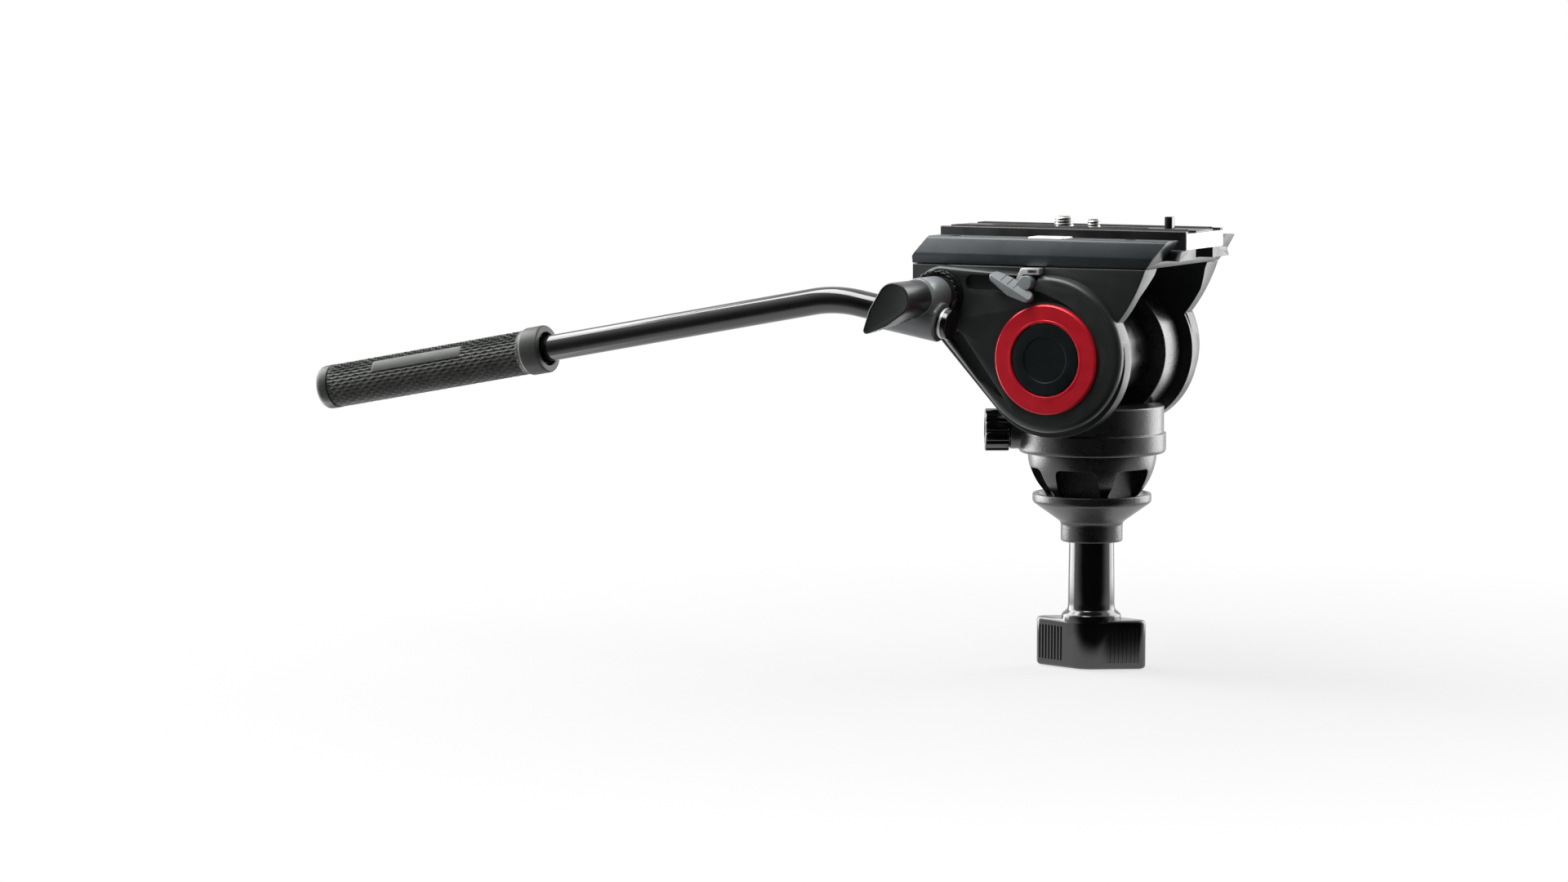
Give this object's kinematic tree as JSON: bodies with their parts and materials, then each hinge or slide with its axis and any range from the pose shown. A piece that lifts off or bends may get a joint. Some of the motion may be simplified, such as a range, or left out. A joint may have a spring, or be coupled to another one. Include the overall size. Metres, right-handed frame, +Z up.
{
  "type": "fluid video head",
  "caption": "Tripod video head with a half ball and tie-down knob, drag-damped pan and tilt, a sliding quick-release camera plate and a bent pan bar with a rubber grip.",
  "frame": {"origin": "on the pan axis, at the plane where the pan housing turns on the half ball", "axes": "+Z up along the pan axis, +X to the front of the head, -Y to the side that carries the pan bar"},
  "size_m": [0.4375, 0.1548, 0.211],
  "materials": {
    "cast_paint": "speckled dark grey paint on a casting",
    "side_moulding": "satin dark grey",
    "receiver_paint": "fine-grained dark grey",
    "black_plastic": "satin black",
    "red_anodised": "red anodised",
    "cap_plastic": "satin grey-green",
    "steel": "bright",
    "brass": "plain",
    "aluminium": "satin",
    "black_anodised": "black anodised",
    "gloss_tube": "gloss black",
    "grip_rubber": "matt dark grey-green",
    "plate_rubber": "matt black",
    "grey_plastic": "satin grey",
    "level_glass": "clear, green fluid"
  },
  "bodies": {
    "ball_base": {"half_ball": "cast_paint", "clamp_stud": "steel", "pan_spindle": "steel", "pan_brake_drum": "steel", "pan_bearing": "steel", "spindle_nut": "steel", "ball_screw_1": "steel", "ball_screw_2": "steel", "ball_screw_3": "steel"},
    "bowl_clamp": {"clamp_cup": "cast_paint"},
    "tie_down": {"tie_down_knob": "black_plastic", "knob_insert": "brass"},
    "pan": {"pan_housing": "cast_paint", "pan_drag_cartridge": "aluminium", "counterbalance_drum": "black_anodised", "counterbalance_spring": "steel", "tilt_axle": "steel", "tilt_bearing_near": "steel", "tilt_bearing_far": "steel", "bubble_level": "level_glass", "pan_lock_shoe": "brass"},
    "pan_lock": {"pan_lock_knob": "black_plastic", "pan_lock_screw": "steel"},
    "tilt": {"near_cheek": "side_moulding", "far_cheek": "side_moulding", "receiver": "receiver_paint", "receiver_screw_1": "steel", "receiver_screw_2": "steel", "receiver_screw_3": "steel", "receiver_screw_4": "steel", "near_drag_ring": "red_anodised", "near_cap": "cap_plastic", "near_drag_cartridge": "aluminium", "far_drag_ring": "black_anodised", "far_cap": "cap_plastic", "far_drag_cartridge": "aluminium", "near_rosette": "black_anodised", "far_rosette": "black_anodised", "tilt_brake_pad": "brass"},
    "plate_lock": {"plate_lock_lever": "grey_plastic", "plate_lock_shaft": "steel"},
    "jaw": {"clamp_jaw": "aluminium"},
    "catch": {"safety_catch": "aluminium"},
    "tilt_lock": {"tilt_lock_lever": "grey_plastic", "tilt_lock_screw": "steel"},
    "sliding_plate": {"camera_plate": "black_anodised", "plate_pad_near": "plate_rubber", "plate_pad_far": "plate_rubber", "guide_pin_spring": "steel"},
    "large_screw": {"large_camera_screw": "steel"},
    "small_screw": {"small_camera_screw": "steel"},
    "pin": {"guide_pin": "black_plastic"},
    "pan_bar": {"bar_holder": "grey_plastic", "bar_tube": "gloss_tube", "bar_end_plug": "black_plastic", "grip": "grip_rubber", "grip_end_cap": "grip_rubber"},
    "bar_clamp": {"bar_clamp_knob": "grey_plastic", "bar_clamp_bolt": "steel"}
  },
  "joints": [
    {"name": "bowl_clamp_slide", "type": "slide", "parent": "ball_base", "child": "bowl_clamp", "axis": [0, 0, 1], "range_m": [-0.009, 0.003]},
    {"name": "tie_down_turn", "type": "hinge", "parent": "bowl_clamp", "child": "tie_down", "pos_m": [0, 0, -0.0778], "axis": [0, 0, 1], "range_deg": [-2160, 720]},
    {"name": "pan_turn", "type": "hinge", "parent": "ball_base", "child": "pan", "pos_m": [0, 0, 0], "axis": [0, 0, 1], "continuous": true},
    {"name": "pan_lock_turn", "type": "hinge", "parent": "pan", "child": "pan_lock", "pos_m": [-0.0343, -0.0177, 0.0104], "axis": [-0.8886, -0.4587, 0], "range_deg": [0, 360]},
    {"name": "tilt_turn", "type": "hinge", "parent": "pan", "child": "tilt", "pos_m": [-0.0015, 0, 0.0463], "axis": [0, 1, 0], "range_deg": [-60, 90]},
    {"name": "plate_lock_turn", "type": "hinge", "parent": "tilt", "child": "plate_lock", "pos_m": [-0.0115, -0.0491, 0.0812], "axis": [0, 1, 0], "range_deg": [0, 65]},
    {"name": "jaw_slide", "type": "slide", "parent": "tilt", "child": "jaw", "axis": [0, -1, 0], "range_m": [0, 0.0008]},
    {"name": "catch_slide", "type": "slide", "parent": "tilt", "child": "catch", "axis": [0, 1, 0], "range_m": [0, 0.0015], "stiffness_N_per_m": 300},
    {"name": "tilt_lock_turn", "type": "hinge", "parent": "tilt", "child": "tilt_lock", "pos_m": [-0.02287, 0.049, 0.06423], "axis": [0, 1, 0], "range_deg": [0, 60]},
    {"name": "plate_slide", "type": "slide", "parent": "tilt", "child": "sliding_plate", "axis": [1, 0, 0], "range_m": [-0.028, 0.028]},
    {"name": "large_screw_turn", "type": "hinge", "parent": "sliding_plate", "child": "large_screw", "pos_m": [-0.0148, 0, 0.1048], "axis": [0, 0, 1], "continuous": true},
    {"name": "small_screw_turn", "type": "hinge", "parent": "sliding_plate", "child": "small_screw", "pos_m": [0.0003, 0, 0.1048], "axis": [0, 0, 1], "continuous": true},
    {"name": "pin_slide", "type": "slide", "parent": "sliding_plate", "child": "pin", "axis": [0, 0, -1], "range_m": [0, 0.005], "stiffness_N_per_m": 200, "deforming": ["guide_pin_spring"]},
    {"name": "pan_bar_turn", "type": "hinge", "parent": "tilt", "child": "pan_bar", "pos_m": [-0.0554, -0.0645, 0.0746], "axis": [0, 1, 0], "continuous": true},
    {"name": "bar_clamp_turn", "type": "hinge", "parent": "pan_bar", "child": "bar_clamp", "pos_m": [-0.0554, -0.0985, 0.0746], "axis": [0, 1, 0], "range_deg": [0, 360]}
  ],
  "couplings": [
    {"joint": "tie_down_turn", "follows": "bowl_clamp_slide", "rad_per_m": 4188.7},
    {"joint": "plate_lock_turn", "follows": "jaw_slide", "rad_per_m": 1418}
  ]
}
